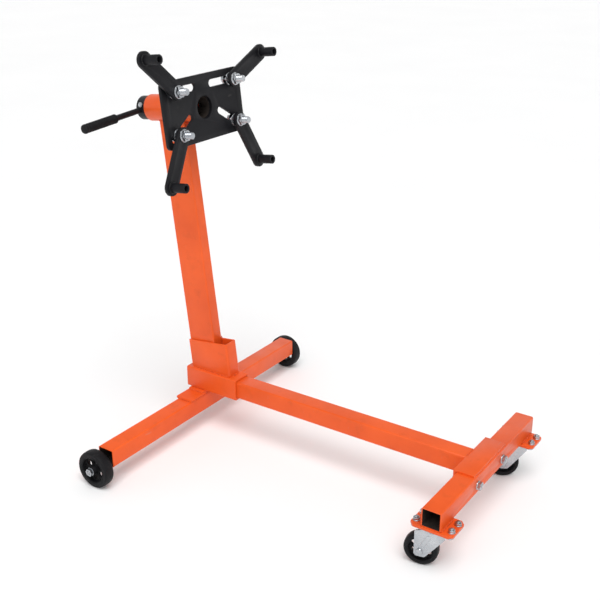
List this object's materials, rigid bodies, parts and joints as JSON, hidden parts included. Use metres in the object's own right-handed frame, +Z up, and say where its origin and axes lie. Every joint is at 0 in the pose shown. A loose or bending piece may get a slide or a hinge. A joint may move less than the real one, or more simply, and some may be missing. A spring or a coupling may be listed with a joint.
{
  "type": "rotating engine stand",
  "caption": "Wheeled steel stand with a leaning post and a rotating head; slotted plate and adjustable arms bolt to an engine and hold it in the air.",
  "frame": {"origin": "on the floor, under the middle of the stand's bounding box", "axes": "+Z up; +X forward, from the post towards the swivel casters; +Y to the left"},
  "size_m": [0.9917, 0.83, 0.9917],
  "materials": {
    "orange_paint": "glossy powder coat",
    "black_paint": "satin powder coat",
    "zinc": "bright zinc plating",
    "steel": "plain steel",
    "wheel_rubber": "hard black rubber",
    "grip": "soft black rubber"
  },
  "bodies": {
    "frame": {"rear_cross_tube": "orange_paint", "saddle_plate": "orange_paint", "sleeve_pad": "orange_paint", "beam_sleeve": "orange_paint", "centre_beam": "orange_paint", "sleeve_clamp_nut": "zinc", "sleeve_clamp_bolt": "zinc", "post_socket": "orange_paint", "post": "orange_paint", "bearing_tube": "orange_paint", "lock_boss": "orange_paint", "front_saddle": "orange_paint", "front_cross_tube": "orange_paint", "joint_bolts": "zinc", "joint_nuts": "zinc", "caster_mount_left": "orange_paint", "caster_mount_right": "orange_paint", "caster_plate_left": "zinc", "caster_plate_right": "zinc", "kingpin_left": "zinc", "kingpin_right": "zinc", "caster_bolts": "zinc", "caster_nuts": "zinc", "rear_axle_left": "steel", "rear_axle_right": "steel", "axle_washers": "zinc", "axle_nuts": "zinc"},
    "rear_wheel_left": {"rear_wheel_left": "wheel_rubber"},
    "rear_wheel_right": {"rear_wheel_right": "wheel_rubber"},
    "caster_fork_left": {"caster_fork_left": "zinc", "caster_axle_left": "zinc"},
    "caster_balls_left": {"caster_balls_left": "steel"},
    "caster_wheel_left": {"caster_wheel_left": "wheel_rubber"},
    "caster_fork_right": {"caster_fork_right": "zinc", "caster_axle_right": "zinc"},
    "caster_balls_right": {"caster_balls_right": "steel"},
    "caster_wheel_right": {"caster_wheel_right": "wheel_rubber"},
    "head": {"shaft_tube": "black_paint", "head_plate": "black_paint", "handle_rod": "black_paint", "handle_grip": "grip", "handle_screw": "zinc"},
    "lock_pin": {"lock_pin": "steel"},
    "arm_bolt_upper_left": {"arm_bolt_upper_left": "zinc", "arm_nuts_upper_left": "zinc"},
    "arm_upper_left": {"arm_upper_left": "black_paint", "arm_tube_upper_left": "black_paint"},
    "arm_bolt_upper_right": {"arm_bolt_upper_right": "zinc", "arm_nuts_upper_right": "zinc"},
    "arm_upper_right": {"arm_upper_right": "black_paint", "arm_tube_upper_right": "black_paint"},
    "arm_bolt_lower_left": {"arm_bolt_lower_left": "zinc", "arm_nuts_lower_left": "zinc"},
    "arm_lower_left": {"arm_lower_left": "black_paint", "arm_tube_lower_left": "black_paint"},
    "arm_bolt_lower_right": {"arm_bolt_lower_right": "zinc", "arm_nuts_lower_right": "zinc"},
    "arm_lower_right": {"arm_lower_right": "black_paint", "arm_tube_lower_right": "black_paint"}
  },
  "joints": [
    {"name": "rear_wheel_left_spin", "type": "hinge", "parent": "frame", "child": "rear_wheel_left", "pos_m": [-0.3537, 0.3884, 0.046], "axis": [0, 1, 0], "continuous": true},
    {"name": "rear_wheel_right_spin", "type": "hinge", "parent": "frame", "child": "rear_wheel_right", "pos_m": [-0.3537, -0.3884, 0.046], "axis": [0, 1, 0], "continuous": true},
    {"name": "caster_left_swivel", "type": "hinge", "parent": "frame", "child": "caster_fork_left", "pos_m": [0.4468, 0.209, 0.092], "axis": [0, 0, 1], "continuous": true},
    {"name": "caster_left_balls", "type": "hinge", "parent": "frame", "child": "caster_balls_left", "pos_m": [0.4468, 0.209, 0.0955], "axis": [0, 0, 1], "continuous": true},
    {"name": "caster_left_roll", "type": "hinge", "parent": "caster_fork_left", "child": "caster_wheel_left", "pos_m": [0.41961, 0.19632, 0.0375], "axis": [-0.4226, 0.9063, 0], "continuous": true},
    {"name": "caster_right_swivel", "type": "hinge", "parent": "frame", "child": "caster_fork_right", "pos_m": [0.4468, -0.209, 0.092], "axis": [0, 0, 1], "continuous": true},
    {"name": "caster_right_balls", "type": "hinge", "parent": "frame", "child": "caster_balls_right", "pos_m": [0.4468, -0.209, 0.0955], "axis": [0, 0, 1], "continuous": true},
    {"name": "caster_right_roll", "type": "hinge", "parent": "caster_fork_right", "child": "caster_wheel_right", "pos_m": [0.41746, -0.21524, 0.0375], "axis": [-0.2079, 0.9781, 0], "continuous": true},
    {"name": "head_spin", "type": "hinge", "parent": "frame", "child": "head", "pos_m": [-0.39719, 0, 0.82842], "axis": [0.9932, 0, 0.1167], "continuous": true},
    {"name": "lock_pin_slide", "type": "slide", "parent": "frame", "child": "lock_pin", "axis": [0, 1, 0], "range_m": [-0.01, 0]},
    {"name": "arm_upper_left_slide", "type": "slide", "parent": "head", "child": "arm_bolt_upper_left", "axis": [0, 1, 0], "range_m": [-0.069, 0.011]},
    {"name": "arm_upper_left_swing", "type": "hinge", "parent": "arm_bolt_upper_left", "child": "arm_upper_left", "pos_m": [-0.29512, 0.102, 0.89126], "axis": [0.9932, 0, 0.1167], "range_deg": [-35, 35]},
    {"name": "arm_upper_right_slide", "type": "slide", "parent": "head", "child": "arm_bolt_upper_right", "axis": [0, -1, 0], "range_m": [-0.069, 0.011]},
    {"name": "arm_upper_right_swing", "type": "hinge", "parent": "arm_bolt_upper_right", "child": "arm_upper_right", "pos_m": [-0.29512, -0.102, 0.89126], "axis": [0.9932, 0, 0.1167], "range_deg": [-35, 35]},
    {"name": "arm_lower_left_slide", "type": "slide", "parent": "head", "child": "arm_bolt_lower_left", "axis": [0.0618, 0.8483, -0.5259], "range_m": [-0.06012, 0.01297]},
    {"name": "arm_lower_left_swing", "type": "hinge", "parent": "arm_bolt_lower_left", "child": "arm_lower_left", "pos_m": [-0.28365, 0.105, 0.7936], "axis": [0.9932, 0, 0.1167], "range_deg": [-35, 35]},
    {"name": "arm_lower_right_slide", "type": "slide", "parent": "head", "child": "arm_bolt_lower_right", "axis": [0.0618, -0.8483, -0.5259], "range_m": [-0.05776, 0.01532]},
    {"name": "arm_lower_right_swing", "type": "hinge", "parent": "arm_bolt_lower_right", "child": "arm_lower_right", "pos_m": [-0.28379, -0.103, 0.79484], "axis": [0.9932, 0, 0.1167], "range_deg": [-35, 35]}
  ],
  "couplings": [
    {"joint": "caster_left_balls", "follows": "caster_left_swivel", "ratio": 0.5},
    {"joint": "caster_right_balls", "follows": "caster_right_swivel", "ratio": 0.5}
  ]
}
